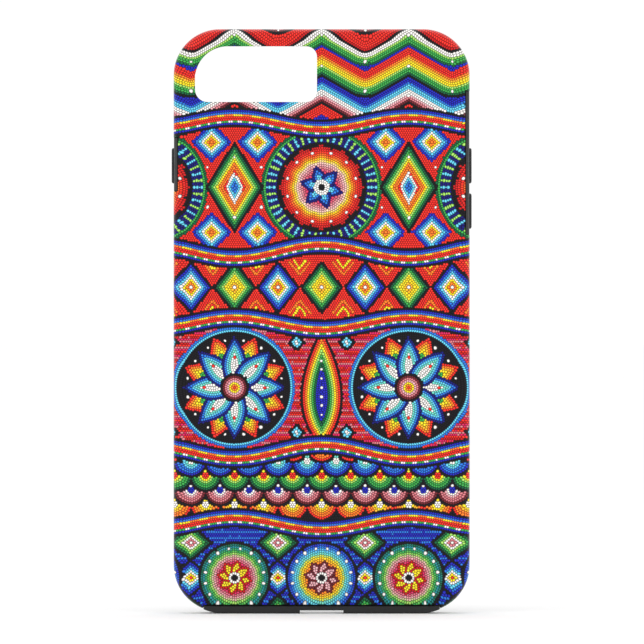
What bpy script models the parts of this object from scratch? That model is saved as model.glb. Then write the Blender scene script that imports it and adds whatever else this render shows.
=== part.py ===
"""Two-layer phone case for a large dual-camera phone: a hard outer shell over a soft inner liner,
with three side button pads.  Metres, +Z up.  The printed back faces -Y, the phone's screen side +Y.
The case stands on the flat bottom edge of its liner; the origin is the bottom centre."""
import math
import bpy
import bmesh
from mathutils import Vector

MM = 0.001

# ---- the phone that the case is made for -------------------------------------------------
PHONE_W, PHONE_H, PHONE_T = 78.1, 158.4, 7.5          # width, height, thickness, mm
FIT = 0.1                                             # clearance per side round the phone
# ---- outer shell (hard plastic) -------------------------------------------------------------
SHELL_HW = 41.5                                       # half width
SHELL_Z0, SHELL_Z1 = 0.5, 163.7                       # bottom and top edges
SHELL_R = 13.0                                        # corner radius seen from the back
EDGE_R = 3.2                                          # rounding from the back face to the sides
Y_BACK, Y_FRONT = -5.6, 5.6                           # printed face, front of the screen lip
SHELL_T, SHELL_SIDE_T = 1.2, 1.2                      # back plate and side wall
SHELL_FRONT = 3.9                                     # front edge of the shell's side wall
GAP = 0.2                                             # clearance between the two layers
# ---- inner liner (soft) -----------------------------------------------------------------------
LINER_T = 1.0                                         # back plate
LIP_T = 1.2                                           # screen lip, along Y
LIP_IN = 1.45                                         # how far the lip laps over the glass
FLANGE_Y0 = SHELL_FRONT + GAP                         # rim that covers the shell's front edge
# ---- camera window ----------------------------------------------------------------------------
WIN_X0, WIN_X1, WIN_Z0, WIN_Z1 = -35.45, -1.3, 143.2, 158.8
WIN_R_BIG, WIN_R = 9.2, 3.0
LINER_WIN_BACK = 0.7                                  # the liner's window stands back this much
# ---- side notches of the shell, filled by raised banks of the liner ---------------------------
NOTCH_IN = 1.3                                        # how far a side notch cuts in from the side
RIGHT_Z0, RIGHT_Z1 = 106.0, 146.4                     # volume pads and ring-switch window
LEFT_Z0, LEFT_Z1 = 118.2, 133.4                       # power pad
BOTTOM_HW, BOTTOM_IN = 33.3, 2.0                      # bottom notch: half length, depth
BANK_BACK = -5.05                                     # back face of the bottom bank
# ---- button pads ------------------------------------------------------------------------------
PAD_L, PAD_W = 9.9, 4.4                               # along Z, along Y
PAD_OUT = 42.05                                       # outer face of a pad at rest
PAD_Y = 0.6                                           # pads centre on the phone's thickness
PAD_Z = {"volume_up_pad": 125.45, "volume_down_pad": 112.75, "power_pad": 125.45}
PAD_GAP = 0.2
SWITCH_Z0, SWITCH_Z1, SWITCH_HY = 135.0, 145.6, 2.5   # ring-switch window
PORT_HW, PORT_HY = 6.1, 3.25                          # charging-port window
PORT_RECESS = 0.9                                     # scallop round the port in the bottom bank
GRILLE_X, GRILLE_HW, GRILLE_HY = 19.5, 7.4, 1.5       # speaker and microphone windows

COLL = bpy.data.collections.new("phone_case")
CUTS = bpy.data.collections.new("phone_case_cutters")
for o in list(bpy.data.objects):
    bpy.data.objects.remove(o)
bpy.context.scene.collection.children.link(COLL)
bpy.context.scene.collection.children.link(CUTS)


def material(name, colour, rough):
    m = bpy.data.materials.new(name)
    m.use_nodes = True
    b = m.node_tree.nodes["Principled BSDF"]
    b.inputs["Base Color"].default_value = (*colour, 1)
    b.inputs["Roughness"].default_value = rough
    b.inputs["Metallic"].default_value = 0.0
    return m


PRINT = material("printed_gloss_plastic", (0.55, 0.06, 0.05), 0.18)
RUBBER = material("black_liner_rubber", (0.030, 0.030, 0.032), 0.62)


def bevel(bm, edges, r, segments):
    bmesh.ops.bevel(bm, geom=list(edges), offset=r * MM, offset_type="OFFSET", segments=segments,
                    profile=0.5, affect="EDGES", clamp_overlap=False)


def along(e, axis):
    d = (e.verts[0].co - e.verts[1].co)
    return abs(d[axis]) > 0.999 * d.length


def on_plane(e, axis, value):
    return all(abs(v.co[axis] - value * MM) < 1e-6 for v in e.verts)


def slab(name, x, y, z, corner=0.0, corner_seg=10, back=0.0, back_seg=5, front=0.0, front_seg=3,
         axis=1, corners=None, helper=True, mat=None):
    """A box between the given limits (mm) whose four edges along axis are rounded by corner, or
    by corners = {(sign, sign): radius}, and whose rims at the low and high end of axis are
    rounded by back and front."""
    bm = bmesh.new()
    bmesh.ops.create_cube(bm, size=1.0)
    lo = Vector((x[0], y[0], z[0])) * MM
    hi = Vector((x[1], y[1], z[1])) * MM
    for v in bm.verts:
        v.co = Vector((lo[i] if v.co[i] < 0 else hi[i]) for i in range(3))
    mid = (lo + hi) / 2
    others = [i for i in range(3) if i != axis]

    def side(e):
        c = (e.verts[0].co + e.verts[1].co) / 2
        return tuple(1 if c[i] > mid[i] else -1 for i in others)

    if corners:
        for key, r in corners.items():
            bevel(bm, [e for e in bm.edges if along(e, axis) and side(e) == key
                       and abs(e.verts[0].co[others[0]] - (hi if key[0] > 0 else lo)[others[0]]) < 1e-7
                       and abs(e.verts[0].co[others[1]] - (hi if key[1] > 0 else lo)[others[1]]) < 1e-7],
                  r, corner_seg)
    elif corner:
        bevel(bm, [e for e in bm.edges if along(e, axis)], corner, corner_seg)
    ends = ((x, y, z)[axis][0], (x, y, z)[axis][1])
    if back:
        bevel(bm, [e for e in bm.edges if on_plane(e, axis, ends[0])], back, back_seg)
    if front:
        bevel(bm, [e for e in bm.edges if on_plane(e, axis, ends[1])], front, front_seg)
    bmesh.ops.recalc_face_normals(bm, faces=bm.faces)
    me = bpy.data.meshes.new(name)
    bm.to_mesh(me)
    bm.free()
    o = bpy.data.objects.new(name, me)
    (CUTS if helper else COLL).objects.link(o)
    if helper:
        o.hide_render = True
        o.display_type = "WIRE"
    if mat:
        me.materials.append(mat)
    me.shade_smooth()
    me.set_sharp_from_angle(angle=math.radians(32))
    return o


def boolean(o, other, kind="DIFFERENCE"):
    m = o.modifiers.new(kind.lower() + "_" + other.name, "BOOLEAN")
    m.operation = kind
    m.object = other
    m.solver = "EXACT"


# ======================= outer shell: a tray, open at the front ================================
outer_shell = slab("outer_shell", (-SHELL_HW, SHELL_HW), (Y_BACK, SHELL_FRONT), (SHELL_Z0, SHELL_Z1),
                   corner=SHELL_R, corner_seg=12, back=EDGE_R, back_seg=6, helper=False, mat=PRINT)
t = SHELL_SIDE_T
boolean(outer_shell, slab("shell_hollow", (-SHELL_HW + t, SHELL_HW - t), (Y_BACK + SHELL_T, 9),
                          (SHELL_Z0 + t, SHELL_Z1 - t), corner=SHELL_R - t, corner_seg=12,
                          back=EDGE_R - t, back_seg=5))
CAMERA_CORNERS = {(-1, 1): WIN_R_BIG, (1, 1): WIN_R, (1, -1): WIN_R, (-1, -1): WIN_R + 0.6}
boolean(outer_shell, slab("shell_window", (WIN_X0, WIN_X1), (-9, 9), (WIN_Z0, WIN_Z1),
                          corners=CAMERA_CORNERS, corner_seg=8))
# notches: straight cuts along Y, open at the front, so the shell draws off the liner backwards
right_notch = slab("right_notch", (SHELL_HW - NOTCH_IN, 50), (-9, 9), (RIGHT_Z0, RIGHT_Z1))
left_notch = slab("left_notch", (-50, -SHELL_HW + NOTCH_IN), (-9, 9), (LEFT_Z0, LEFT_Z1))
bottom_notch = slab("bottom_notch", (-BOTTOM_HW, BOTTOM_HW), (-9, 9), (-9, SHELL_Z0 + BOTTOM_IN))
for cutter in (right_notch, left_notch, bottom_notch):
    boolean(outer_shell, cutter)

# ======================= inner liner =============================================================
# tray that lines the shell
LW = SHELL_HW - t - GAP                                # liner's outer half width
LZ0, LZ1 = SHELL_Z0 + t + GAP, SHELL_Z1 - t - GAP
LY0 = Y_BACK + SHELL_T + GAP                           # liner's outer back face
liner = slab("inner_liner", (-LW, LW), (LY0, FLANGE_Y0 + 0.4), (LZ0, LZ1), corner=SHELL_R - t - GAP,
             corner_seg=12, back=EDGE_R - t - GAP, back_seg=5, helper=False, mat=RUBBER)
# rim that covers the shell's front edge and carries the screen lip
boolean(liner, slab("liner_rim", (-SHELL_HW + 0.1, SHELL_HW - 0.1), (FLANGE_Y0, Y_FRONT),
                    (SHELL_Z0 + 0.1, SHELL_Z1 - 0.1), corner=SHELL_R - 0.1, corner_seg=12,
                    front=0.7, front_seg=3), "UNION")
# raised banks that fill the shell's notches; the side banks follow the shell's own rounding
g = GAP
for name, limits in (("right_bank", ((LW - 0.9, SHELL_HW - 0.1), (RIGHT_Z0 + g, RIGHT_Z1 - g))),
                     ("left_bank", ((-SHELL_HW + 0.1, -LW + 0.9), (LEFT_Z0 + g, LEFT_Z1 - g)))):
    bank = slab(name, limits[0], (-1.6, FLANGE_Y0 + 0.5), limits[1])
    boolean(liner, bank, "UNION")
    sign = 1 if name == "right_bank" else -1
    form = slab(name + "_form", (-SHELL_HW + 0.1, SHELL_HW - 0.1), (Y_BACK + 0.15, 2.0),
                (SHELL_Z0, SHELL_Z1), corner=SHELL_R, corner_seg=12, back=EDGE_R, back_seg=6)
    inner_x = SHELL_HW - NOTCH_IN + g
    trim = slab(name + "_trim", (inner_x, 50) if sign > 0 else (-50, -inner_x), (-9, 0.5), limits[1])
    boolean(form, trim, "INTERSECT")
    boolean(liner, form, "UNION")
# the bottom bank stands 0.5 mm below the shell and is what the case stands on
bottom = slab("bottom_bank", (-BOTTOM_HW + g, BOTTOM_HW - g), (BANK_BACK, FLANGE_Y0 + 0.9),
              (0.0, SHELL_Z0 + BOTTOM_IN - g), back=0.45, back_seg=3)
outline = slab("bottom_outline", (-SHELL_HW + 0.2, SHELL_HW - 0.2), (-8, 8), (0.0, 90.0), corner=13.9,
               corner_seg=12)
boolean(bottom, outline, "INTERSECT")
boolean(liner, bottom, "UNION")
# pocket for the phone, with its rounded long edges, and the mouth inside the screen lip
CW = PHONE_W / 2 + FIT
CZ = (SHELL_Z0 + SHELL_Z1) / 2
CZ0, CZ1 = CZ - PHONE_H / 2 - FIT, CZ + PHONE_H / 2 + FIT
CY0, CY1 = LY0 + LINER_T, Y_FRONT - LIP_T
POCKET_R = 10.6
boolean(liner, slab("pocket", (-CW, CW), (CY0, CY1), (CZ0, CZ1), corner=POCKET_R, corner_seg=10,
                    back=1.3, back_seg=4, front=0.6, front_seg=2))
MW = CW - LIP_IN
boolean(liner, slab("mouth", (-MW, MW), (CY1 - 1.2, 9), (CZ0 + LIP_IN, CZ1 - LIP_IN),
                    corner=POCKET_R - LIP_IN, corner_seg=10))
b = LINER_WIN_BACK
boolean(liner, slab("liner_window", (WIN_X0 - b, WIN_X1 + b), (-9, CY0 + 1.0), (WIN_Z0 - b, WIN_Z1 + b),
                    corners={k: r + b for k, r in CAMERA_CORNERS.items()}, corner_seg=8))
# windows through the side and bottom walls
boolean(liner, slab("switch_window", (CW - 3, 50), (PAD_Y - SWITCH_HY, PAD_Y + SWITCH_HY),
                    (SWITCH_Z0, SWITCH_Z1), corner=1.6, corner_seg=5, axis=0))
boolean(liner, slab("port_recess", (-PORT_HW, PORT_HW), (-9, 9), (-9, PORT_RECESS)))
boolean(liner, slab("port_window", (-PORT_HW + 0.1, PORT_HW - 0.1), (PAD_Y - PORT_HY, PAD_Y + PORT_HY),
                    (-9, CZ0 + 3), corner=2.4, corner_seg=6, axis=2))
for sign, name in ((-1, "speaker_window"), (1, "microphone_window")):
    boolean(liner, slab(name, (sign * GRILLE_X - GRILLE_HW, sign * GRILLE_X + GRILLE_HW),
                        (PAD_Y - GRILLE_HY, PAD_Y + GRILLE_HY), (-9, CZ0 + 3), corner=1.45,
                        corner_seg=5, axis=2))
# seats of the three pads: a shallow groove round each pad, and the hole it travels in
for name, zc in PAD_Z.items():
    sign = -1 if name == "power_pad" else 1
    hole = PAD_GAP
    xs = (CW - 3, 50) if sign > 0 else (-50, -CW + 3)
    boolean(liner, slab(name + "_hole", xs, (PAD_Y - PAD_W / 2 - hole, PAD_Y + PAD_W / 2 + hole),
                        (zc - PAD_L / 2 - hole, zc + PAD_L / 2 + hole), corner=1.5 + hole,
                        corner_seg=5, axis=0))
    gx = (SHELL_HW - 0.45, 50) if sign > 0 else (-50, -SHELL_HW + 0.45)
    boolean(liner, slab(name + "_groove", gx, (PAD_Y - PAD_W / 2 - 0.7, PAD_Y + PAD_W / 2 + 0.7),
                        (zc - PAD_L / 2 - 0.7, zc + PAD_L / 2 + 0.7), corner=2.1, corner_seg=5,
                        axis=0))

# ======================= button pads ==============================================================
for name, zc in PAD_Z.items():
    sign = -1 if name == "power_pad" else 1
    x_in, x_nub = CW + 0.75, CW + 0.15
    xs = (x_in, PAD_OUT) if sign > 0 else (-PAD_OUT, -x_in)
    rims = {"front": 0.45} if sign > 0 else {"back": 0.45, "back_seg": 3}
    joint = bpy.data.objects.new(name + "_axis", None)          # on the pad's line of travel
    joint.location = Vector((sign * CW, PAD_Y, zc)) * MM
    COLL.objects.link(joint)
    pad = slab(name, xs, (PAD_Y - PAD_W / 2, PAD_Y + PAD_W / 2), (zc - PAD_L / 2, zc + PAD_L / 2),
               corner=1.5, corner_seg=5, axis=0, helper=False, mat=RUBBER, **rims)
    xn = (x_nub, x_in + 0.3) if sign > 0 else (-x_in - 0.3, -x_nub)
    boolean(pad, slab(name + "_nub", xn, (PAD_Y - 1.0, PAD_Y + 1.0), (zc - 3.2, zc + 3.2),
                      corner=0.8, corner_seg=4, axis=0), "UNION")
    for v in pad.data.vertices:
        v.co -= joint.location
    pad.parent = joint
    nub = bpy.data.objects[name + "_nub"]
    for v in nub.data.vertices:
        v.co -= joint.location
    nub.parent = joint
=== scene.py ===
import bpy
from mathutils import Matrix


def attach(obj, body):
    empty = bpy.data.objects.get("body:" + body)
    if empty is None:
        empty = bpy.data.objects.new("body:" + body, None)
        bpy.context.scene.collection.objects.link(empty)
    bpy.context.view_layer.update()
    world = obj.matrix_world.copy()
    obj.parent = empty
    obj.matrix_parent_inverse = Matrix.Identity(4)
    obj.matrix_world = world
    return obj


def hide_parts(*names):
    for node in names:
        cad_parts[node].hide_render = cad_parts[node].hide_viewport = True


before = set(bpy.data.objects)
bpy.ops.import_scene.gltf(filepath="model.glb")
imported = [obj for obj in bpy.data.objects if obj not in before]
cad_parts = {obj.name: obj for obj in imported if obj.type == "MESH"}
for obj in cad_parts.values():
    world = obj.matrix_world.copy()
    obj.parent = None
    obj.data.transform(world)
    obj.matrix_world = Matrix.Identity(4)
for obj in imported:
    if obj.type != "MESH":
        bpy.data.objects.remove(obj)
"""Two-layer phone case: a glossy hard shell printed with a picture of seed-bead work, on a soft
dark liner with three button pads.  The print is made here bead by bead: the bead centres are laid
along the strings of the design, each bead takes its colour from the drawing functions, and the
shell's outer face is a mesh of one small cell per bead."""
import math
import bpy
import numpy as np
from mathutils import Vector
from mathutils.geometry import delaunay_2d_cdt

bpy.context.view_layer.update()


# ---------------------------------------------------------------- drawing the bead picture
# The picture is drawn on a sheet of its own, x to the right and y down, 3.5686 units to 1 mm.
# Every bead asks the drawing functions for its colour; later shapes lie over earlier ones.
INK = dict(
    K=(28, 26, 31), K2=(32, 32, 36), R=(230, 50, 42), Rd=(188, 32, 34), O=(242, 124, 44), Y=(240, 216, 44),
    Yo=(238, 178, 48), G=(62, 162, 76), Gd=(26, 92, 62), L=(154, 208, 98), T=(44, 140, 152),
    Cg=(108, 206, 190), C=(98, 196, 224), M=(48, 114, 208), Lb=(104, 152, 222), B=(38, 44, 176),
    Bn=(30, 30, 112), W=(236, 232, 228), P=(226, 168, 174), Pk=(206, 118, 126), N=(108, 38, 46),
    Nr=(142, 44, 46), H=(240, 204, 178), V=(94, 46, 154), Mg=(208, 40, 92), Br=(142, 84, 78))


def curve(pts, closed=False, n=6):
    """A smooth line through the points."""
    p = np.array(pts, float)
    if closed:
        p = np.vstack([p[-1], p, p[0], p[1]])
    else:
        p = np.vstack([2 * p[0] - p[1], p, 2 * p[-1] - p[-2]])
    t = np.linspace(0, 1, n, endpoint=False)[:, None]
    out = []
    for a, b, c, d in zip(p[:-3], p[1:-2], p[2:-1], p[3:]):
        out.append(0.5 * (2 * b + (c - a) * t + (2 * a - 5 * b + 4 * c - d) * t ** 2
                          + (3 * b - a - 3 * c + d) * t ** 3))
    out = np.vstack(out)
    return out if closed else np.vstack([out, p[-2]])


class Line:
    """A line with, for any bead, its signed distance (positive on the right hand of the
    direction of travel, in the sheet's x-right y-down sense) and its place along the line."""

    def __init__(self, pts, smooth=True, n=6):
        self.p = curve(pts, n=n) if smooth else np.array(pts, float)
        self.v = np.diff(self.p, axis=0)
        self.l = np.maximum(np.hypot(*self.v.T), 1e-9)
        self.s0 = np.concatenate([[0], np.cumsum(self.l)])
        self.length = self.s0[-1]

    def local(self, x, y):
        best = np.full(len(x), 1e9)
        d = np.zeros(len(x))
        s = np.zeros(len(x))
        for i in range(len(self.v)):
            ax, ay = self.p[i]
            ux, uy = self.v[i] / self.l[i]
            rx, ry = x - ax, y - ay
            along = rx * ux + ry * uy
            t = np.clip(along, 0, self.l[i])
            dist = np.hypot(rx - t * ux, ry - t * uy)
            m = dist < best - 1e-9
            best[m] = dist[m]
            side = np.where(ux * ry - uy * rx >= 0, 1.0, -1.0)
            d[m] = (dist * side)[m]
            s[m] = (self.s0[i] + t)[m]
        return d, s

    def at(self, s):
        s = np.clip(s, 0, self.length - 1e-9)
        i = np.searchsorted(self.s0, s, side="right") - 1
        t = (s - self.s0[i]) / self.l[i]
        return self.p[i] + t * self.v[i]


def tone(ink):
    """The colour of an ink, or the even mix of several."""
    return np.mean([INK[n] for n in ink.split("/")], axis=0) if isinstance(ink, str) else np.array(ink, float)


class Sheet:
    """Every bead asks here for its colour. h picks a bead's colour out of a mix; the beads of one
    string share most of it, so a mix comes out as strings of different colours."""

    def __init__(self, x, y, h=None):
        self.x, self.y = np.array(x, float), np.array(y, float)
        self.c = np.zeros((len(self.x), 3))
        self.c[:] = INK["K"]
        r = np.random.RandomState(7)
        self.h = r.random_sample(len(self.x)) if h is None else np.array(h, float)
        self.mask = None

    # -- choosing beads
    def near(self, x0, x1, y0, y1):
        k = (self.x >= x0) & (self.x <= x1) & (self.y >= y0) & (self.y <= y1)
        if self.mask is not None:
            k &= self.mask
        return np.nonzero(k)[0]

    def within(self, pts):
        """Until open() only beads inside this outline take colour."""
        m = np.zeros(len(self.x), bool)
        m[self.inside(pts)] = True
        self.mask = m

    def open(self):
        self.mask = None

    def inside(self, pts):
        p = np.array(pts, float)
        i = self.near(p[:, 0].min(), p[:, 0].max(), p[:, 1].min(), p[:, 1].max())
        x, y = self.x[i], self.y[i]
        hit = np.zeros(len(i), bool)
        q = np.roll(p, -1, axis=0)
        for (ax, ay), (bx, by) in zip(p, q):
            if ay == by:
                continue
            c = ((ay > y) != (by > y)) & (x < (bx - ax) * (y - ay) / (by - ay) + ax)
            hit ^= c
        return i[hit]

    def by_line(self, line, lo, hi):
        p = line.p
        m = max(abs(lo), abs(hi)) + 0.5
        i = self.near(p[:, 0].min() - m, p[:, 0].max() + m, p[:, 1].min() - m, p[:, 1].max() + m)
        d, s = line.local(self.x[i], self.y[i])
        k = (d >= lo) & (d < hi)
        return i[k], d[k], s[k]

    # -- colouring beads
    def put(self, i, ink):
        if isinstance(ink, str):
            names = ink.split("/")
            if len(names) == 1:
                self.c[i] = INK[names[0]]
            else:                                   # a mix of beads, e.g. "R/R/O"
                tab = np.array([INK[n] for n in names])
                self.c[i] = tab[(self.h[i] * 0.99999 * len(names)).astype(int)]
        else:
            self.c[i] = ink

    def fill(self, pts, ink, smooth=False):
        i = self.inside(curve(pts, closed=True) if smooth else pts)
        self.put(i, ink)
        return i

    def stroke(self, pts, w, ink, smooth=False):
        line = Line(pts, smooth)
        i, d, s = self.by_line(line, -w / 2, w / 2)
        self.put(i, ink)

    def dashes(self, pts, w, seq, phase=0.0, smooth=True):
        """A stroke whose ink changes along it: seq is [(length, ink), ...], repeated."""
        line = Line(pts, smooth)
        i, d, s = self.by_line(line, -w / 2, w / 2)
        self.cycle(i, s + phase, seq)

    def cycle(self, i, s, seq):
        total = sum(a for a, _ in seq)
        s = np.mod(s, total)
        lo = 0
        for a, ink in seq:
            k = (s >= lo) & (s < lo + a)
            if ink:
                self.put(i[k], ink)
            lo += a

    def band(self, line, layers):
        """layers: [(from, to, ink or [(length, ink), ...])], distances on the right hand."""
        lo = min(a for a, _, _ in layers)
        hi = max(b for _, b, _ in layers)
        i, d, s = self.by_line(line, lo, hi)
        for a, b, ink in layers:
            k = (d >= a) & (d < b)
            if isinstance(ink, list):
                self.cycle(i[k], s[k], ink)
            elif ink:
                self.put(i[k], ink)

    def dots(self, pts, r, ink):
        for x, y in pts:
            i = self.near(x - r - 2, x + r + 2, y - r - 2, y + r + 2)
            d = np.hypot(self.x[i] - x, self.y[i] - y)
            k = d <= r
            if not k.any() and len(i):
                k = d == d.min()
            self.put(i[k], ink)

    def string(self, pts, ink, w=2.0, gap=None, pitch=2.1, smooth=False):
        """A string of beads along a line: the beads within w / 2 of it take the ink."""
        line = Line(pts, smooth)
        i, d, s = self.by_line(line, -w / 2, w / 2)
        self.put(i, ink)

    def rings(self, cx, cy, layers, clip=None):
        """layers from the outside in: [(radius, ink), ...]"""
        R = layers[0][0]
        i = self.near(cx - R, cx + R, cy - R, cy + R)
        r = np.hypot(self.x[i] - cx, self.y[i] - cy)
        for rad, ink in layers:
            self.put(i[r <= rad], ink)

    def disc(self, cx, cy, R, paint):
        """A round field: paint(beads, radius, angle in degrees) colours it."""
        i = self.near(cx - R, cx + R, cy - R, cy + R)
        dx, dy = self.x[i] - cx, self.y[i] - cy
        r = np.hypot(dx, dy)
        k = r < R
        paint(i[k], r[k], np.degrees(np.arctan2(dy, dx))[k] % 360.0)

    def flower(self, cx, cy, r, petal, heart, n=6, turn=0.0, pr=None):
        pr = pr or r * 0.52
        a = np.arange(n) * 2 * math.pi / n + turn
        self.dots([(cx + r * math.cos(t), cy + r * math.sin(t)) for t in a], pr, petal)
        self.dots([(cx, cy)], r * 0.42, heart)

    def nested(self, pts, layers, smooth=False):
        """A closed shape in layers by the distance in from its outline: [(depth, ink), ...]"""
        p = curve(pts, closed=True) if smooth else np.array(pts, float)
        i = self.inside(p)
        if not len(i):
            return
        edge = Line(np.vstack([p, p[:1]]), smooth=False)
        d, s = edge.local(self.x[i], self.y[i])
        d = np.abs(d)
        for depth, ink in layers:
            k = d >= depth
            if isinstance(ink, list):
                self.cycle(i[k], s[k], ink)
            else:
                self.put(i[k], ink)

    def blend(self, pts, origin, steps, smooth=False):
        """A closed shape shaded by the distance from a point: [(radius, ink), ...]"""
        i = self.fill(pts, steps[-1][1], smooth)
        r = np.hypot(self.x[i] - origin[0], self.y[i] - origin[1])
        inner = [0.0] + [a for a, _ in steps[:-1]]
        mid = [(a + min(b, a + 5.0)) / 2 for a, b in zip(inner, [a for a, _ in steps])]
        col = np.array([tone(ink) for _, ink in steps])
        self.put(i, np.stack([np.interp(r, mid, col[:, k]) for k in range(3)], -1))
        return i

    def zigzag(self, pts, amp, period, w, ink, smooth=True):
        line = Line(pts, smooth)
        t = np.arange(0, line.length, period / 8.0)
        d = amp * np.sin(t / period * 2 * math.pi)
        p = np.array([line.at(v) for v in t])
        g = np.array([line.at(v + 1.0) - line.at(v - 1.0) for v in t])
        g /= np.maximum(np.hypot(*g.T), 1e-9)[:, None]
        self.stroke(p + np.stack([-g[:, 1], g[:, 0]], -1) * d[:, None], w, ink)


GRID = 1.5


class Plan(Sheet):
    """The same drawing made once on an even net of points, to learn which shape shows where and
    along which lines the beads of each shape should be strung."""

    def __init__(self):
        gx, gy = np.meshgrid(np.arange(147, 495.01, GRID), np.arange(3, 639.01, GRID))
        self.shape = gx.shape
        super().__init__(gx.ravel(), gy.ravel())
        self.owner = np.full(len(self.x), -1)
        self.op, self.depth, self.list = -1, 0, []

    def put(self, i, ink):
        self.owner[i] = self.op if self.depth else -1

    def note(self, *what):
        self.list.append(what)
        return len(self.list) - 1

    def run(self, what, call, *args, **kw):
        before = self.op, self.depth
        self.op, self.depth = self.note(*what), 1
        out = call(*args, **kw)
        self.op, self.depth = before
        return out

    def stroke(self, pts, w, ink, smooth=False):
        line = Line(pts, smooth)
        self.run(("beside", line, [(-w / 2, w / 2)]), self.band, line, [(-w / 2, w / 2, ink)], plain=True)

    def string(self, pts, ink, w=2.0, **kw):
        self.stroke(pts, w, ink)

    def dashes(self, pts, w, seq, phase=0.0, smooth=True):
        self.run(("beside", Line(pts, smooth), [(-w / 2, w / 2)]), super().dashes, pts, w, seq, phase, smooth)

    def band(self, line, layers, plain=False):
        if plain:
            return super().band(line, layers)
        return self.run(("beside", line, [(a, b) for a, b, _ in layers]), super().band, line, layers)

    def fill(self, pts, ink, smooth=False):
        return self.run(("around", pts, [(0.0, 2.1)], smooth), super().fill, pts, ink, smooth)

    def nested(self, pts, layers, smooth=False):
        at_depth = [a for a, _ in layers] + [layers[-1][0] + 4.2]
        return self.run(("around", pts, list(zip(at_depth[:-1], at_depth[1:])), smooth), super().nested, pts, layers, smooth)

    def blend(self, pts, origin, steps, smooth=False):
        i = self.inside(curve(pts, closed=True) if smooth else pts)
        self.run(("round", origin, min(26.0, max([4.0] + [math.hypot(x - origin[0], y - origin[1]) for x, y in pts]))), self.put, i, None)
        return i

    def rings(self, cx, cy, layers, clip=None):
        return self.run(("rings", (cx, cy), [a for a, _ in layers]), super().rings, cx, cy, layers)

    def disc(self, cx, cy, R, paint):
        return self.run(("round", (cx, cy), R), super().disc, cx, cy, R, paint)

    def dots(self, pts, r, ink):
        pts = list(pts)
        self.run(("dots", pts, r), super().dots, pts, r, ink)

    def shows(self, k, x, y):
        """Whether shape k is the top one at these places."""
        j, i = np.floor((y - 3) / GRID).astype(int), np.floor((x - 147) / GRID).astype(int)
        ok = (j >= 0) & (j < self.shape[0] - 1) & (i >= 0) & (i < self.shape[1] - 1)
        j, i = np.where(ok, j, 0), np.where(ok, i, 0)
        o = self.owner.reshape(self.shape)
        return ok & ((o[j, i] == k) | (o[j + 1, i] == k) | (o[j, i + 1] == k) | (o[j + 1, i + 1] == k))


# ---------------------------------------------------------------- the bead picture
# A plain banded design laid out by rule: registers one above another, mirror-symmetric about the
# middle of the case, parted by wound cords that swing in even waves.  Rosettes, lozenges, petals,
# chevrons and scales repeat at the wave's length.
MID, WAVE, STRING = 321.0, 174.0, 2.14


def wave(y, amp):
    """A cord's line across the sheet."""
    x = np.arange(129.0, 514.0, 11.0)
    return Line(np.stack([x, y + amp * np.cos((x - MID) / WAVE * 2 * math.pi)], -1), n=4)


CORDS = [wave(124.0, 6.0), wave(252.0, -7.0), wave(324.0, 6.0), wave(452.0, -7.0), wave(524.0, 6.0)]


def strings(lo, *parts):
    """Bands of so many strings each, from distance lo on: (ink, count), ..."""
    out = []
    for ink, n in parts:
        out.append((lo, lo + n * STRING, ink))
        lo += n * STRING
    return out


def inward(*parts):
    """The same for a closed shape, from its outline inwards."""
    return [(lo, ink) for lo, _, ink in strings(0.0, *parts)]


def shaded(s, i, r, steps):
    """Beads i coloured by a smooth run of inks over r: [(r, ink), ...]"""
    col = np.array([tone(ink) for _, ink in steps])
    at_r = [a for a, _ in steps]
    s.put(i, np.stack([np.interp(r, at_r, col[:, k]) for k in range(3)], -1))


def circle(cx, cy, r, n, turn=0.0):
    a = np.radians(turn + 360.0 * np.arange(n) / n)
    return list(zip(cx + r * np.cos(a), cy + r * np.sin(a)))


def petal(s, tip, heart, half, layers):
    """A pointed petal from heart to tip, in layers by the distance in from its edge."""
    t = np.linspace(0, 1, 15)
    (ax, ay), (bx, by) = heart, tip
    n = math.hypot(bx - ax, by - ay)
    ux, uy = (bx - ax) / n, (by - ay) / n
    w = half * np.sin(np.pi * t ** 0.80) ** 0.85
    up = [(ax + (bx - ax) * q - uy * h, ay + (by - ay) * q + ux * h) for q, h in zip(t, w)]
    dn = [(ax + (bx - ax) * q + uy * h, ay + (by - ay) * q - ux * h) for q, h in zip(t, w)]
    s.nested(up + dn[::-1][1:-1], layers)


def rosette(s, cx, cy, size, lobes, field, heart, spot):
    """Graded rings with a scalloped edge, small petals round the middle."""
    step = 360.0 / lobes

    def paint(i, r, a):
        point = np.abs(np.mod(a + step / 2, step) - step / 2) / (step / 2)
        q = r / (1.0 - 0.07 * point ** 1.4) / size
        s.put(i, "K")
        k = q < 0.95
        shaded(s, i[k], q[k], field)

    s.disc(cx, cy, size, paint)
    for tip in circle(cx, cy, size * 0.50, lobes // 2, step / 2):
        petal(s, tip, (cx, cy), size * 0.15, heart)
    s.rings(cx, cy, [(size * 0.16, spot), (2.4, "K")])
    s.dots(circle(cx, cy, size * 0.80, lobes, step / 2), 1.4, spot)


def rays(s, cx, cy, r0, r1, n):
    """Short strings that stand round a rosette, in two colours by turns."""
    for k, (a, b) in enumerate(zip(circle(cx, cy, r0, n), circle(cx, cy, r1, n))):
        s.stroke([a, b], 2.4, "L" if k % 2 else "C")


def ground(s, upper, lower, ink):
    """The field of one register, between two lines across the sheet; what follows stays in it."""
    top = [(129, -20), (514, -20)] if upper is None else list(map(tuple, upper.p))
    low = [(129, 660), (514, 660)] if lower is None else list(map(tuple, lower.p))
    s.open()
    s.fill(top + low[::-1], ink)
    s.within(top + low[::-1])


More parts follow.
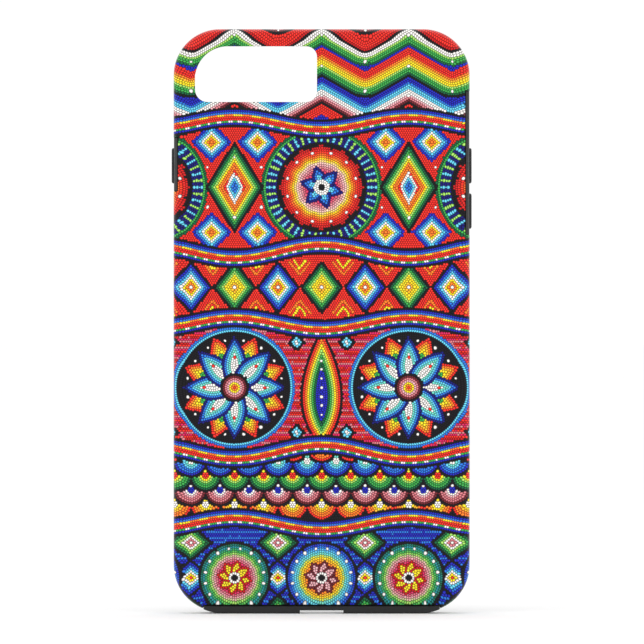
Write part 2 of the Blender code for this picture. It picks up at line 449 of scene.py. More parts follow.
def draw_chevrons(s):
    """Top: bands of chevrons, one under another."""
    ground(s, None, CORDS[0], "B")
    runs = [(("R", 3), ("O", 1), ("Yo", 1), ("Y", 2), ("L", 1), ("G", 2), ("Gd", 1), ("K", 1), ("B", 3)),
            (("B", 2), ("M", 1), ("C", 2), ("W", 2), ("P", 1), ("Pk", 1), ("N", 1), ("K", 1), ("R", 4)),
            (("R", 3), ("Rd", 1), ("K", 1), ("W", 2), ("L", 1), ("G", 2), ("Gd", 1), ("B", 2), ("M", 2))]
    half = WAVE / 4
    for k in range(5):
        y = -28.0 + 29.5 * k
        p = [(MID + j * half, y + (12.5 if j % 2 else -12.5)) for j in range(-5, 6)]
        s.band(Line(p, smooth=False), strings(0.0, *runs[k % 3]))
        s.dots([(x, v + 19.0) for x, v in p], 1.6, "W")


def draw_suns(s):
    """Rosettes with rays on black, tall lozenges between them, steps in the corners."""
    ground(s, CORDS[0], CORDS[1], "R")
    y = 188.0
    for x in (-WAVE / 2, WAVE / 2):
        cx = MID + x
        for e in (-1, 1):
            for f in (-1, 1):
                c = (cx + e * 23, y + f * 45)
                s.nested([(c[0] - 20, c[1]), (c[0], c[1] - 20), (c[0] + 20, c[1]), (c[0], c[1] + 20)], inward(("B", 1), ("M", 1), ("C", 1), ("W", 1), ("Y", 1), ("O", 2)))
    field = [(0.20, "V"), (0.34, "Mg"), (0.44, "Pk"), (0.52, "P"), (0.58, "H"), (0.64, "Y"), (0.72, "O"), (0.82, "R"), (0.95, "Rd")]
    heart = inward(("Bn", 1), ("M", 1), ("C", 2))
    for x in (-WAVE, 0.0, WAVE):
        s.rings(MID + x, y, [(60.5, "Gd"), (58.2, "G"), (56.0, "Bn")])
        rays(s, MID + x, y, 45.0, 55.0, 48)
        rosette(s, MID + x, y, 44.0, 12, field, heart, "W")
    for x in (-WAVE / 2, WAVE / 2):
        cx = MID + x
        s.nested([(cx - 29, y), (cx, y - 46), (cx + 29, y), (cx, y + 46)], inward(("K", 1), ("Gd", 1), ("G", 1), ("L", 1), ("Y", 1), ("O", 2), ("R", 2), ("B", 4)))
        s.nested([(cx - 9, y), (cx, y - 16), (cx + 9, y), (cx, y + 16)], inward(("W", 1), ("C", 1), ("M", 2)))
        s.dots([(cx, y - 30), (cx, y + 30), (cx - 27, y - 20), (cx + 27, y - 20), (cx - 27, y + 20), (cx + 27, y + 20)], 1.6, "W")


def draw_lozenges(s):
    """A row of stepped lozenges."""
    ground(s, CORDS[1], CORDS[2], "R")
    y, step = 288.0, WAVE / 4
    for k in range(-5, 6):
        cx = MID + k * step
        a = inward(("K", 1), ("B", 1), ("M", 1), ("C", 1), ("W", 1), ("Y", 1), ("O", 1), ("R", 3)) if k % 2 else inward(("K", 1), ("Gd", 1), ("G", 1), ("L", 1), ("Y", 2), ("Yo", 1), ("R", 3))
        s.nested([(cx - step / 2, y), (cx, y - 27), (cx + step / 2, y), (cx, y + 27)], a)
        s.dots([(cx, y)], 1.6, "W")
        for f in (-1, 1):
            s.stroke([(cx + step / 2 - 10, y + f * 25), (cx + step / 2, y + f * 13), (cx + step / 2 + 10, y + f * 25)], 2.3, "O")
            s.stroke([(cx + step / 2 - 6, y + f * 27), (cx + step / 2, y + f * 19), (cx + step / 2 + 6, y + f * 27)], 2.3, "Y")


def draw_flowers(s):
    """Large flowers, with upright leaves between them."""
    ground(s, CORDS[2], CORDS[3], "Rd/Pk/R/Mg")
    y = 388.0
    for x in (-1.5 * WAVE, -WAVE / 2, WAVE / 2, 1.5 * WAVE):
        c = (MID + x, y)
        s.rings(*c, [(60.0, "M"), (57.8, "C"), (55.6, "K")])
        for tip in circle(*c, 54.0, 8, 22.5):
            petal(s, tip, c, 14.0, inward(("R", 1), ("O", 1), ("Yo", 1), ("Y", 1), ("G", 3)))
        for tip in circle(*c, 51.0, 8):
            petal(s, tip, c, 12.5, inward(("Bn", 1), ("M", 1), ("C", 1), ("Cg", 1), ("W", 2)))
        s.rings(*c, [(15.0, "K"), (12.9, "N"), (10.7, "Pk"), (8.6, "P"), (6.4, "Y"), (4.3, "O"), (2.2, "R")])
        s.dots(circle(*c, 30.0, 8), 1.4, "R")
        s.dots(circle(*c, 47.5, 8, 11.25) + circle(*c, 47.5, 8, 33.75), 1.4, "W")
    for x in (-WAVE, 0.0, WAVE):
        cx = MID + x
        for e in (-1, 1):
            for f in (-1, 1):
                c = (cx + e * 25, y + f * 45)
                s.nested([(c[0] - 9, c[1]), (c[0], c[1] - 9), (c[0] + 9, c[1]), (c[0], c[1] + 9)], inward(("K", 1), ("C", 1), ("W", 2)))
        petal(s, (cx, y - 58), (cx, y + 58), 21.0, inward(("K", 1), ("R", 1), ("O", 1), ("Y", 1), ("L", 1), ("G", 1), ("Gd", 1), ("B", 4)))
        s.dots([(cx, y - 27 + 9 * j) for j in range(7)], 1.6, "W")


def draw_scales(s):
    """Rows of scales in graded rings, each row hung over the one below."""
    ground(s, CORDS[3], CORDS[4], "K")
    step = WAVE / 6
    fields = (("K", "R", "O", "Yo", "Y", "W"), ("K", "B", "M", "C", "Cg", "W"), ("K", "Gd", "G", "L", "Y", "R"), ("K", "N", "Pk", "P", "W", "B"))
    for row in range(4, -1, -1):
        cy = 447.0 + 14.5 * row
        for k in range(-8, 9):
            cx = MID + (k + 0.5 * (row % 2)) * step
            inks = fields[row % 4]
            s.rings(cx, cy, [(16.2 - 2.5 * j, ink) for j, ink in enumerate(inks)])


def draw_lower_rosettes(s):
    """Bottom: rosettes in green and pink with small lozenges between them, on blue."""
    ground(s, CORDS[4], None, "B/M/B")
    y, half = 578.0, WAVE / 2
    for k in range(-3, 3):
        cx = MID + (k + 0.5) * half
        for f in (-1, 0, 1):
            cy = y + f * 35
            a = inward(("K", 1), ("B", 1), ("M", 1), ("C", 1), ("W", 1), ("Y", 2), ("O", 2)) if f == 0 else inward(("K", 1), ("Gd", 1), ("G", 1), ("L", 1), ("W", 1), ("Pk", 2), ("R", 2))
            s.nested([(cx - 22, cy), (cx, cy - 19), (cx + 22, cy), (cx, cy + 19)], a)
            s.dots([(cx, cy)], 1.6, "W" if f else "R")
    cool = [(0.20, "Rd"), (0.32, "R"), (0.42, "O"), (0.50, "Yo"), (0.58, "Y"), (0.66, "Cg"), (0.74, "C"), (0.84, "M"), (0.95, "B")]
    warm = [(0.20, "Bn"), (0.32, "V"), (0.42, "Mg"), (0.50, "Pk"), (0.58, "P"), (0.66, "L"), (0.74, "G"), (0.84, "T"), (0.95, "Gd")]
    for k in range(-2, 3):
        rosette(s, MID + k * half, y, 37.0, 16, warm if k % 2 else cool, inward(("N", 1), ("P", 2)) if k % 2 == 0 else inward(("Rd", 1), ("Y", 2)), "W")
    line = Line([(129.0 + 11 * k, 622.0) for k in range(36)], smooth=False)
    s.band(line, strings(0.0, ("K", 1), ("W", 1), ("R", 4), ("K", 1)))
    s.open()


def draw_cords(s):
    """The wound cords between the registers: strings side by side, two of them in dashes."""
    for line in CORDS:
        s.band(line, strings(-4.5 * STRING, ("K", 1), ("B", 1), ("M", 1), ([(8.8, "Y"), (8.8, "O")], 1), ("R", 2),
                             ([(4.4, "W"), (6.6, "G")], 1), ("B", 1), ("K", 1)))


def draw(s):
    draw_chevrons(s)
    draw_suns(s)
    draw_lozenges(s)
    draw_flowers(s)
    draw_scales(s)
    draw_lower_rosettes(s)
    draw_cords(s)


# ---------------------------------------------------------------- where the beads lie
PITCH = 2.30


class Rows:
    """Bead places taken one by one, none nearer to another than they can lie."""

    def __init__(self):
        self.grid = {}
        self.x, self.y, self.h = [], [], []
        self.strings = 0

    def add(self, x, y, gap, h=None):
        g = self.grid
        ci, cj = int(x // 2.2), int(y // 2.2)
        q = gap * gap
        for i in (ci - 1, ci, ci + 1):
            for j in (cj - 1, cj, cj + 1):
                for a, b in g.get((i, j), ()):
                    if (a - x) * (a - x) + (b - y) * (b - y) < q:
                        return
        g.setdefault((ci, cj), []).append((x, y))
        self.x.append(x)
        self.y.append(y)
        self.h.append(h)

    def hue(self):
        """One string's place in a mix of colours."""
        self.strings += 1
        return (self.strings * 0.618034) % 1.0

    def beside(self, line, lo, hi, pitch=PITCH, gap=0.80, shows=None):
        """Strings of beads side by side, at distances lo to hi from a line."""
        n = max(1, int(round((hi - lo) / (pitch * 0.93))))
        s = np.arange(0, line.length + 0.5, 1.0)
        p = np.array([line.at(v) for v in s])
        t = np.array([line.at(v + 1.5) - line.at(v - 1.5) for v in s])
        t /= np.maximum(np.hypot(*t.T), 1e-9)[:, None]
        nrm = np.stack([-t[:, 1], t[:, 0]], -1)
        for k in range(n):
            d = lo + (k + 0.5) * (hi - lo) / n
            q = p + nrm * d
            seg = np.hypot(*np.diff(q, axis=0).T)
            a = np.concatenate([[0], np.cumsum(seg)])
            if a[-1] < 0.1:
                continue
            u = np.arange((k % 2) * pitch * 0.5, a[-1] + 0.2, pitch)
            x, y = np.interp(u, a, q[:, 0]), np.interp(u, a, q[:, 1])
            real, _ = line.local(x, y)
            good = (np.abs(real - d) < 0.5) & (x > 147) & (x < 495) & (y > 3) & (y < 639)
            if shows is not None:
                good &= shows(x, y)
            h = self.hue()
            for i in np.nonzero(good)[0]:
                self.add(x[i], y[i], pitch * gap, h)

    def round(self, cx, cy, lo, hi, pitch=PITCH, gap=0.80, shows=None):
        r = lo
        while r < hi:
            n = max(1, int(round(2 * math.pi * r / pitch)))
            t = 2 * math.pi * (np.arange(n) + 0.5 * (int(r / pitch) % 2)) / n
            x, y = cx + r * np.cos(t), cy + r * np.sin(t)
            good = (x > 147) & (x < 495) & (y > 3) & (y < 639)
            if shows is not None:
                good &= shows(x, y)
            h = self.hue()
            for i in np.nonzero(good)[0]:
                self.add(x[i], y[i], pitch * gap, h)
            r += pitch * 0.95

    def around(self, pts, steps, smooth=False, shows=None):
        """Strings that follow the outline of a closed shape, inwards."""
        p = curve(pts, closed=True) if smooth else np.array(pts, float)
        x, y = p[:, 0], p[:, 1]
        turn = np.sum(x * np.roll(y, -1) - y * np.roll(x, -1))
        if turn < 0:
            p = p[::-1]
        line = Line(np.vstack([p, p[:1]]), smooth=False)
        for lo, hi in steps:
            self.beside(line, lo, hi, gap=0.82, shows=shows)

    def follow(self, plan):
        """Beads strung along the shapes of the drawing, the top ones first."""
        for k in range(len(plan.list) - 1, -1, -1):
            if not (plan.owner == k).any():
                continue
            what = plan.list[k]
            shows = lambda x, y, k=k: plan.shows(k, x, y)
            if what[0] == "dots":
                for x, y in what[1]:
                    if 147 < x < 495 and 3 < y < 639 and shows(np.array([x]), np.array([y]))[0]:
                        self.add(x, y, PITCH * 0.74, self.hue())
                        if what[2] > 2.0:
                            self.round(x, y, PITCH * 0.95, what[2] + 0.2, gap=0.8, shows=shows)
            elif what[0] == "beside":
                for lo, hi in what[2]:
                    self.beside(what[1], lo, hi, gap=0.78, shows=shows)
            elif what[0] == "around":
                self.around(what[1], what[2], what[3], shows)
            elif what[0] == "rings":
                self.round(what[1][0], what[1][1], 0.02, what[2][0], shows=shows)
            elif what[0] == "round":
                self.round(what[1][0], what[1][1], 0.02, what[2], shows=shows)


def bead_places():
    rows = Rows()
    plan = Plan()
    draw(plan)
    rows.follow(plan)
    # the rest in plain rows
    y, k = 4.0, 0
    while y < 638:
        x = 148 + (PITCH / 2 if k % 2 else 0)
        h = rows.hue()
        while x < 494:
            rows.add(x, y, PITCH * 0.80, h)
            x += PITCH
        y += PITCH * 0.88
        k += 1
    # and single beads where a gap is left
    y = 4.0
    while y < 638:
        x = 148.0
        while x < 494:
            rows.add(x, y, PITCH * 0.87)
            x += 0.7
        y += 0.7
    r = np.random.RandomState(5)
    h = np.array([r.random_sample() if v is None else v for v in rows.h])
    loose = r.random_sample(len(h)) < 0.12                # now and then a bead differs from its string
    h = np.where(loose, r.random_sample(len(h)), h)
    return np.array(rows.x), np.array(rows.y), h


# ---------------------------------------------------------------- the sheet wrapped on the shell
LO, HI = (-41.5, -5.6, 0.5), (41.5, 3.9, 163.7)                     # mm, before its notches are cut
PER_MM, SHEET_X, SHEET_Y = 3.5686, 321.0, 613.8                     # sheet units to 1 mm; X = 0; Z = 0
EDGE, WALL_T, CORNER = 3.2, 1.2, 13.0           # back rounding, wall thickness, corner radius
HALF_W, MID_Z, HALF_Z = (HI[0] - LO[0]) / 2 - EDGE, (HI[2] + LO[2]) / 2, (HI[2] - LO[2]) / 2 - EDGE
FLAT_R = CORNER - EDGE
ARC = EDGE * math.pi / 2
SKIRT = ARC + (HI[1] - LO[1]) - EDGE            # from the flat back round to the front edge
WINDOW = (-35.45, -1.3, 143.2, 158.8)
WINDOW_R = {(-1, 1): 9.2, (1, 1): 3.0, (1, -1): 3.0, (-1, -1): 3.6}


def unroll(sx, sy):
    """Sheet place -> nearest point of the flat back, outward direction, distance round the edge."""
    X, Z = (sx - SHEET_X) / PER_MM, (SHEET_Y - sy) / PER_MM - MID_Z
    qx, qz = np.abs(X) - (HALF_W - FLAT_R), np.abs(Z) - (HALF_Z - FLAT_R)
    mx, mz = np.maximum(qx, 0), np.maximum(qz, 0)
    r = np.hypot(mx, mz)
    d = r + np.minimum(np.maximum(qx, qz), 0) - FLAT_R
    out = d > 0
    safe = np.maximum(r, 1e-9)
    nx, nz = np.where(out, np.sign(X) * mx / safe, 0), np.where(out, np.sign(Z) * mz / safe, 0)
    d0 = np.maximum(d, 0)
    e = np.where(d0 <= EDGE, d0 * ARC / EDGE, ARC + d0 - EDGE)
    return X - nx * d0, Z - nz * d0 + MID_Z, nx, nz, e


def place(sx, sy, inward=0.0):
    """Sheet place -> point on the shell's outer face, or that far inside it, in mm."""
    X, Z, nx, nz, e = unroll(sx, sy)
    a = np.minimum(e, ARC) / EDGE
    s, c = np.sin(a), np.cos(a)
    r = EDGE * s - inward * s
    y = LO[1] + EDGE - (EDGE - inward) * c + np.maximum(e - ARC, 0)
    return np.stack([X + nx * r, y, Z + nz * r], -1)


def rounded(x, z, box, radii):
    """Signed distance outside a rounded rectangle."""
    cx, cz = (box[0] + box[1]) / 2, (box[2] + box[3]) / 2
    hx, hz = (box[1] - box[0]) / 2, (box[3] - box[2]) / 2
    r = np.zeros_like(x)
    for (a, b), v in radii.items():
        r = np.where((np.sign(x - cx) * a >= 0) & (np.sign(z - cz) * b >= 0), v, r)
    qx, qz = np.abs(x - cx) - hx + r, np.abs(z - cz) - hz + r
    return np.hypot(np.maximum(qx, 0), np.maximum(qz, 0)) + np.minimum(np.maximum(qx, qz), 0) - r


def keep(sx, sy):
    """Positive where the shell has material, about in mm: outside the window and the notches."""
    p = place(sx, sy)
    e = unroll(sx, sy)[4]
    x, z = p[..., 0], p[..., 2]
    k = rounded(x, z, WINDOW, WINDOW_R)
    k = np.minimum(k, np.maximum(np.maximum(HI[0] - 1.3 - x, 106.0 - z), z - 146.4))
    k = np.minimum(k, np.maximum(np.maximum(HI[0] - 1.3 + x, 118.2 - z), z - 133.4))
    k = np.minimum(k, np.maximum(z - LO[2] - 2.0, np.abs(x) - 33.3))
    return np.minimum(k, SKIRT - e)


def triangles(points):
    out = delaunay_2d_cdt([Vector(p) for p in points.tolist()], [], [], 0, 1e-6, False)
    return np.array([p[:] for p in out[0]]), np.array(out[2])


def bead_cells(sx, sy):
    """One cell round each bead: fans of triangles from the bead's centre to the points where
    three beads meet.  Returns sheet places, triangles, and each triangle's bead."""
    pts, tri = triangles(np.stack([sx, sy], -1))
    n = len(pts)
    a, b, c = pts[tri[:, 0]], pts[tri[:, 1]], pts[tri[:, 2]]
    area = (b[:, 0] - a[:, 0]) * (c[:, 1] - a[:, 1]) - (b[:, 1] - a[:, 1]) * (c[:, 0] - a[:, 0])
    tri[area > 0] = tri[area > 0][:, ::-1]           # one way round
    g = pts[tri].mean(axis=1)
    e = np.concatenate([tri[:, [0, 1]], tri[:, [1, 2]], tri[:, [2, 0]]])
    owner = np.tile(np.arange(len(tri)), 3)
    key = np.sort(e, axis=1)
    code = key[:, 0].astype(np.int64) * n + key[:, 1]
    order = np.argsort(code, kind="stable")
    code, e, owner = code[order], e[order], owner[order]
    pair = np.nonzero(code[:-1] == code[1:])[0]
    u, v = e[pair, 0], e[pair, 1]
    g1, g2 = owner[pair] + n, owner[pair + 1] + n    # g1 holds u->v
    faces = np.concatenate([np.stack([u, g2, g1], -1), np.stack([v, g1, g2], -1)])
    bead = np.concatenate([u, v])
    return np.vstack([pts, g]), faces, bead


def clipped(p, faces, bead):
    """The cells cut along the outlines of the shell."""
    f = keep(p[:, 0], p[:, 1])
    h = 0.05
    gx = (keep(p[:, 0] + h, p[:, 1]) - keep(p[:, 0] - h, p[:, 1])) / (2 * h)
    gy = (keep(p[:, 0], p[:, 1] + h) - keep(p[:, 0], p[:, 1] - h)) / (2 * h)
    g2 = gx ** 2 + gy ** 2
    near = (np.abs(f) < 0.10) & (g2 > 1e-3)
    p = p.copy()
    p[near, 0] -= (f * gx / np.maximum(g2, 1e-9))[near]
    p[near, 1] -= (f * gy / np.maximum(g2, 1e-9))[near]
    f[near] = 0.0
    s = f[faces]
    whole = (s >= 0).all(axis=1) & (s > 0).any(axis=1)
    mixed = np.nonzero((s > 0).any(axis=1) & (s < 0).any(axis=1))[0]
    extra, index, add, who = [], {}, [], []

    def cross(i, j):
        k = (i, j) if i < j else (j, i)
        if k not in index:
            t = f[k[0]] / (f[k[0]] - f[k[1]])
            index[k] = len(p) + len(extra)
            extra.append(p[k[0]] + t * (p[k[1]] - p[k[0]]))
        return index[k]

    for m in mixed:
        poly = []
        v = faces[m]
        for a in range(3):
            i, j = int(v[a]), int(v[(a + 1) % 3])
            if f[i] >= 0:
                poly.append(i)
            if (f[i] > 0 and f[j] < 0) or (f[i] < 0 and f[j] > 0):
                poly.append(cross(i, j))
        for a in range(1, len(poly) - 1):
            add.append((poly[0], poly[a], poly[a + 1]))
            who.append(bead[m])
    faces = np.vstack([faces[whole], np.array(add, int)])
    bead = np.concatenate([bead[whole], np.array(who, int)])
    if extra:
        p = np.vstack([p, np.array(extra)])
    return p, faces, bead


def rim_edges(faces, n):
    """Directed edges that only one triangle has."""
    e = np.concatenate([faces[:, [0, 1]], faces[:, [1, 2]], faces[:, [2, 0]]]).astype(np.int64)
    code, back = e[:, 0] * n + e[:, 1], e[:, 1] * n + e[:, 0]
    return e[~np.isin(code, back)]


def unpaired(faces, n):
    """How many edges are not shared by exactly two triangles: 0 on a closed surface."""
    e = np.sort(np.concatenate([faces[:, [0, 1]], faces[:, [1, 2]], faces[:, [2, 0]]]).astype(np.int64), axis=1)
    return int((np.unique(e[:, 0] * n + e[:, 1], return_counts=True)[1] != 2).sum())


def reached(new, tri, fence):
    """The triangles that can be reached from well inside the shell's outline without crossing a rim,
    so none is left across the window or the notches."""
    c = new[tri].mean(axis=1)
    todo = list(np.nonzero(keep(c[:, 0], c[:, 1]) > 0.5)[0])
    beside = {}
    for k, (i, j, m) in enumerate(tri.tolist()):
        for e in ((i, j), (j, m), (m, i)):
            beside.setdefault(frozenset(e), []).append(k)
    seen = np.zeros(len(tri), bool)
    seen[todo] = True
    while todo:
        i, j, m = tri[todo.pop()].tolist()
        for e in (frozenset((i, j)), frozenset((j, m)), frozenset((m, i))):
            if e not in fence:
                for k in beside[e]:
                    if not seen[k]:
                        seen[k] = True
                        todo.append(k)
    return tri[seen]


def inside_face(p, rim):
    """Triangles of the shell's inner face, drawn between the same rims with a coarser net."""
    ids = np.unique(rim)
    where = {int(v): i for i, v in enumerate(ids)}
    own = p[ids]
    edges = [(where[int(a)], where[int(b)]) for a, b in rim]
    gx, gy = np.meshgrid(np.arange(150, 493, 9.0), np.arange(6, 637, 9.0))
    pts = [np.stack([gx.ravel(), gy.ravel()], -1)]
    hx, hz = HALF_W - FLAT_R, HALF_Z - FLAT_R
    for off in (0.0, 0.65, 1.3, 1.95, 2.6, 3.2, 5.6, 7.6):
        r = FLAT_R + off
        t = np.linspace(0, math.pi / 2, 12)
        q = []
        for k, (mx, mz) in enumerate(((1, 1), (-1, 1), (-1, -1), (1, -1))):
            w = t + k * math.pi / 2
            q.append(np.stack([mx * hx + r * np.cos(w), mz * hz + r * np.sin(w)], -1))
        q = np.vstack(q + [q[0][:1]])
        seg = np.hypot(*np.diff(q, axis=0).T)
        s = np.concatenate([[0], np.cumsum(seg)])
        u = np.arange(0, s[-1], 1.7)
        x, z = np.interp(u, s, q[:, 0]), np.interp(u, s, q[:, 1])
        pts.append(np.stack([SHEET_X + x * PER_MM, SHEET_Y - (z + MID_Z) * PER_MM], -1))
    ring = np.vstack(pts[1:])
    flat = pts[0][unroll(pts[0][:, 0], pts[0][:, 1])[4] <= 0]
    flat = flat[[np.hypot(*(ring - q).T).min() > 4.0 for q in flat]]
    mid = np.vstack([flat, ring])
    mid = mid[keep(mid[:, 0], mid[:, 1]) > 0.55]
    allp = np.vstack([own, mid])
    out = delaunay_2d_cdt([Vector(q) for q in allp.tolist()], edges, [], 1, 1e-9, True)
    new, tri = np.array([q[:] for q in out[0]]), np.array(out[2])
    source = [o[0] if o else -1 for o in out[3]]
    at_new = {o: k for k, o in enumerate(source) if 0 <= o < len(ids)}
    fence = {frozenset((at_new[i], at_new[j])) for i, j in edges}
    tri = reached(new, tri, fence)
    a, b, c = new[tri[:, 0]], new[tri[:, 1]], new[tri[:, 2]]
    area = (b[:, 0] - a[:, 0]) * (c[:, 1] - a[:, 1]) - (b[:, 1] - a[:, 1]) * (c[:, 0] - a[:, 0])
    tri[area < 0] = tri[area < 0][:, ::-1]           # the other way round from the outer face
    return ids, new, tri, source


def build_mesh(name, verts, faces, slots=None, sharp=32):
    me = bpy.data.meshes.new(name)
    me.vertices.add(len(verts))
    me.vertices.foreach_set("co", (np.asarray(verts) * 0.001).astype(np.float32).ravel())
    me.loops.add(len(faces) * 3)
    me.loops.foreach_set("vertex_index", np.asarray(faces, np.int32).ravel())
    me.polygons.add(len(faces))
    me.polygons.foreach_set("loop_start", np.arange(0, len(faces) * 3, 3, dtype=np.int32))
    if slots is not None:
        me.polygons.foreach_set("material_index", np.asarray(slots, np.int32))
    me.update(calc_edges=True)
    me.validate()
    me.shade_smooth()
    me.set_sharp_from_angle(angle=math.radians(sharp))
    return me


def printed_shell():
    sx, sy, hue = bead_places()
    pic = Sheet(sx, sy, hue)
    draw(pic)
    p, faces, bead = bead_cells(sx, sy)
    tint = np.zeros((len(sx), 3))
    tint[:] = pic.c
    p, faces, bead = clipped(p, faces, bead)
    used = np.unique(faces)
    renumber = np.full(len(p), -1)
    renumber[used] = np.arange(len(used))
    centre = (faces == bead[:, None])                # the bead's own middle, where it is kept
    p, faces = p[used], renumber[faces]
    rim = rim_edges(faces, len(p))
    ids, new, tri, source = inside_face(p, rim)
    outer = place(p[:, 0], p[:, 1])
    inner = place(new[:, 0], new[:, 1], WALL_T)
    at_inner = {}
    for k, o in enumerate(source):
        if 0 <= o < len(ids):
            at_inner[int(ids[o])] = k + len(outer)
    walls = []
    for u, v in rim:
        u, v = int(u), int(v)
        walls.append((v, u, at_inner[u]))
        walls.append((v, at_inner[u], at_inner[v]))
    verts = np.vstack([outer, inner])
    every = np.vstack([faces, np.array(walls), tri + len(outer)])
    slots = np.zeros(len(every), int)
    slots[len(faces):] = 1
    me = build_mesh("printed_shell", verts, every, slots)
    # each bead's colour, and in the fourth channel the place in the bead: 1 in its middle, 0 at its rim
    r = np.random.RandomState(11)
    lum = 1 + 0.14 * (r.random_sample(len(sx)) - 0.5)
    own = ((tint / 255.0) ** 2.2 * lum[:, None])[bead]
    col = np.zeros((len(every) * 3, 4), np.float32)
    col[:, :3] = 0.004
    col[:len(faces) * 3, :3] = np.repeat(own, 3, axis=0)
    col[:len(faces) * 3, 3] = centre.ravel()
    layer = me.color_attributes.new("bead_colour", "FLOAT_COLOR", "CORNER")
    layer.data.foreach_set("color", col.ravel())
    print("beads", len(sx), "vertices", len(verts), "triangles", len(every), "open edges", len(rim_edges(every, len(verts))), "edges not shared by two", unpaired(every, len(verts)))
    return me


# ---------------------------------------------------------------- finishes
class Nodes:
    def __init__(self, name):
        self.m = bpy.data.materials.new(name)
        self.m.use_nodes = True
        self.t = self.m.node_tree
        self.b = self.t.nodes["Principled BSDF"]
        self.where = self.add("ShaderNodeTexCoord").outputs["Object"]

    def add(self, kind, **values):
        n = self.t.nodes.new(kind)
        for k, v in values.items():
            if hasattr(n, k):
                setattr(n, k, v)
            else:
                n.inputs[k.replace("_", " ")].default_value = v
        return n

    def link(self, a, b):
        self.t.links.new(a, b)

    def noise(self, scale, detail=2.0, rough=0.5):
        n = self.add("ShaderNodeTexNoise")
        n.inputs["Scale"].default_value = scale
        n.inputs["Detail"].default_value = detail
        n.inputs["Roughness"].default_value = rough
        self.link(self.where, n.inputs["Vector"])
        return n.outputs["Fac"]

    def ramp(self, value, lo, hi, a, b):
        n = self.add("ShaderNodeMapRange")
        for k, v in (("From Min", lo), ("From Max", hi), ("To Min", a), ("To Max", b)):
            n.inputs[k].default_value = v
        self.link(value, n.inputs["Value"])
        return n.outputs["Result"]


TOP_SELF, RIM_SELF, RIM_DEEP = 1.22, 0.04, 0.16


def printed_finish():
    """The print under its clear gloss: ink on white plastic, a very shallow waviness in the gloss."""
    n = Nodes("printed_gloss")
    b = n.b
    att = n.add("ShaderNodeAttribute")
    att.attribute_name = "bead_colour"

    def times(colour, value):
        m = n.add("ShaderNodeVectorMath", operation="SCALE")
        n.link(colour, m.inputs[0])
        if isinstance(value, float):
            m.inputs["Scale"].default_value = value
        else:
            n.link(value, m.inputs["Scale"])
        return m.outputs["Vector"]

    # each pictured bead: bright over most of its width, a little deeper in colour and dark where beads meet
    deep = n.add("ShaderNodeVectorMath", operation="MULTIPLY")
    n.link(att.outputs["Color"], deep.inputs[0])
    n.link(att.outputs["Color"], deep.inputs[1])
    part = n.add("ShaderNodeVectorMath", operation="ADD")
    n.link(times(deep.outputs["Vector"], RIM_DEEP), part.inputs[0])
    n.link(times(att.outputs["Color"], RIM_SELF), part.inputs[1])
    full = n.ramp(att.outputs["Alpha"], 0.06, 0.46, 0.0, 1.0)
    mix = n.add("ShaderNodeMix", data_type="RGBA", blend_type="MIX")
    n.link(full, mix.inputs["Factor"])
    n.link(part.outputs["Vector"], mix.inputs[6])
    n.link(times(att.outputs["Color"], TOP_SELF), mix.inputs[7])
    glint = n.add("ShaderNodeVectorMath", operation="ADD")
    n.link(mix.outputs[2], glint.inputs[0])
    n.link(times(att.outputs["Color"], n.ramp(att.outputs["Alpha"], 0.50, 0.95, 0.0, 0.30)), glint.inputs[1])
    # ink lies a little uneven
    g = n.ramp(n.noise(2600.0, 2.0), 0.3, 0.7, 0.95, 1.04)
    n.link(times(glint.outputs["Vector"], g), b.inputs["Base Color"])
    n.link(n.ramp(n.noise(900.0), 0.3, 0.7, 0.34, 0.44), b.inputs["Roughness"])
    b.inputs["Specular IOR Level"].default_value = 0.05
    b.inputs["Coat Weight"].default_value = 1.0
    b.inputs["Coat Roughness"].default_value = 0.045
    b.inputs["Coat IOR"].default_value = 1.22
    bump = n.add("ShaderNodeBump")
    bump.inputs["Strength"].default_value = 0.10
    bump.inputs["Distance"].default_value = 0.00003
    n.link(n.noise(260.0, 2.0), bump.inputs["Height"])
    n.link(bump.outputs["Normal"], b.inputs["Coat Normal"])
    return n.m


def shell_plastic():
    """The shell's unprinted plastic: its rims and its inside."""
    n = Nodes("shell_plastic")
    b = n.b
    c = n.add("ShaderNodeMix", data_type="RGBA")
    n.link(n.ramp(n.noise(120.0, 3.0), 0.3, 0.7, 0.0, 1.0), c.inputs["Factor"])
    c.inputs[6].default_value = (0.014, 0.014, 0.015, 1)
    c.inputs[7].default_value = (0.020, 0.020, 0.021, 1)
    n.link(c.outputs[2], b.inputs["Base Color"])
    n.link(n.ramp(n.noise(700.0, 3.0), 0.3, 0.7, 0.24, 0.36), b.inputs["Roughness"])
    b.inputs["Specular IOR Level"].default_value = 0.4
    return n.m


def rubber(name, tone):
    """Soft moulded liner: fine spark-eroded grain, slightly uneven sheen."""
    n = Nodes(name)
    b = n.b
    c = n.add("ShaderNodeMix", data_type="RGBA")
    n.link(n.ramp(n.noise(160.0, 4.0, 0.6), 0.3, 0.7, 0.0, 1.0), c.inputs["Factor"])
    c.inputs[6].default_value = (tone * 0.86, tone * 0.86, tone * 0.88, 1)
    c.inputs[7].default_value = (tone * 1.14, tone * 1.14, tone * 1.15, 1)
    n.link(c.outputs[2], b.inputs["Base Color"])
    n.link(n.ramp(n.noise(1400.0, 3.0), 0.3, 0.7, 0.50, 0.68), b.inputs["Roughness"])
    b.inputs["Specular IOR Level"].default_value = 0.38
    b.inputs["Sheen Weight"].default_value = 0.06
    b.inputs["Sheen Roughness"].default_value = 0.5
    bump = n.add("ShaderNodeBump")
    bump.inputs["Strength"].default_value = 0.35
    bump.inputs["Distance"].default_value = 0.00006
    v = n.add("ShaderNodeTexVoronoi")
    v.inputs["Scale"].default_value = 3200.0
    n.link(n.where, v.inputs["Vector"])
    n.link(v.outputs["Distance"], bump.inputs["Height"])
    n.link(bump.outputs["Normal"], b.inputs["Normal"])
    return n.m


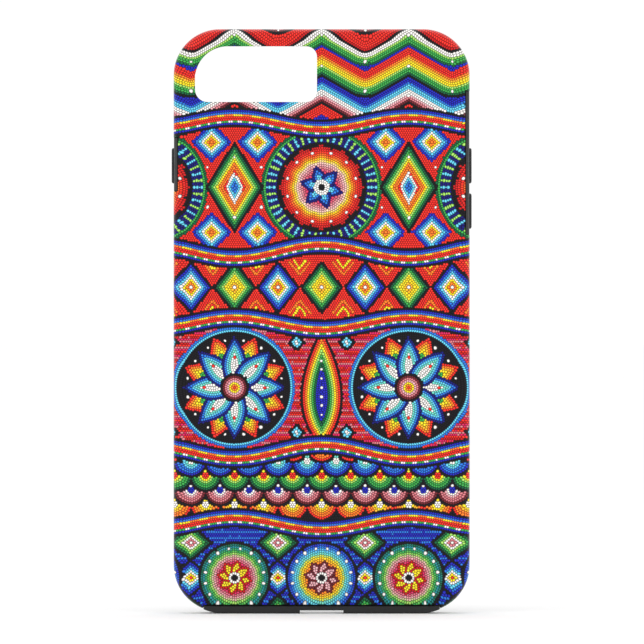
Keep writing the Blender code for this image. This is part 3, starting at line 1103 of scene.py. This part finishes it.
# ---------------------------------------------------------------- the object
shell = bpy.data.objects.new("printed_shell", printed_shell())
bpy.context.scene.collection.objects.link(shell)
shell.data.materials.append(printed_finish())
shell.data.materials.append(shell_plastic())
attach(shell, "shell")
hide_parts("outer_shell")

liner_finish = rubber("liner_rubber_grain", 0.011)
pad_finish = rubber("pad_rubber_grain", 0.015)
for name, finish in (("inner_liner", liner_finish), ("power_pad", pad_finish),
                     ("volume_up_pad", pad_finish), ("volume_down_pad", pad_finish)):
    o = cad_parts[name]
    for s in o.material_slots:
        s.material = finish
    if not o.material_slots:
        o.data.materials.append(finish)

# ---------------------------------------------------------------- floor, light, camera
def plain(name, colour, rough):
    n = Nodes(name)
    n.b.inputs["Base Color"].default_value = (*colour, 1)
    n.b.inputs["Specular IOR Level"].default_value = 0.0
    n.b.inputs["Roughness"].default_value = rough
    return n.m


floor_mesh = bpy.data.meshes.new("floor")
R = 30.0
floor_mesh.from_pydata([(-R, -R, 0), (R, -R, 0), (R, R, 0), (-R, R, 0)], [], [(0, 1, 2, 3)])
floor = bpy.data.objects.new("floor", floor_mesh)
bpy.context.scene.collection.objects.link(floor)
floor_mesh.materials.append(plain("pale_floor", (0.975, 0.975, 0.975), 1.0))

world = bpy.data.worlds.new("studio")
bpy.context.scene.world = world
world.use_nodes = True
wt = world.node_tree
bg = wt.nodes["Background"]
bg.inputs["Color"].default_value = (1, 1, 1, 1)
bg.inputs["Strength"].default_value = 1.03


def soft_light(name, place_at, aim, size, power):
    d = bpy.data.lights.new(name, "AREA")
    d.shape = "RECTANGLE"
    d.size, d.size_y = size
    d.energy = power
    o = bpy.data.objects.new(name, d)
    o.location = place_at
    o.rotation_euler = (Vector(aim) - Vector(place_at)).to_track_quat("-Z", "Y").to_euler()
    bpy.context.scene.collection.objects.link(o)
    return o


top = (0, 0, 0.09)
soft_light("soft_left", (-0.9, -0.75, 0.9), top, (0.8, 0.8), 1.6)
soft_light("soft_right", (1.0, -0.35, 0.7), top, (0.5, 0.9), 0.9)
soft_light("soft_over", (0.0, 0.5, 1.3), top, (1.0, 0.6), 1.2)

cam = bpy.data.cameras.new("camera")
cam.lens = 500.0
cam.sensor_width = 36.0
cam.dof.use_dof = False
cam_o = bpy.data.objects.new("camera", cam)
cam_o.location = (0.0001, -2.5088, 0.08163)
cam_o.rotation_euler = (math.pi / 2, 0, 0)
bpy.context.scene.collection.objects.link(cam_o)
bpy.context.scene.camera = cam_o
bpy.context.scene.view_settings.view_transform = "Standard"
bpy.context.scene.view_settings.look = "None"
bpy.context.scene.view_settings.exposure = 0.0
bpy.context.scene.view_settings.gamma = 1.0
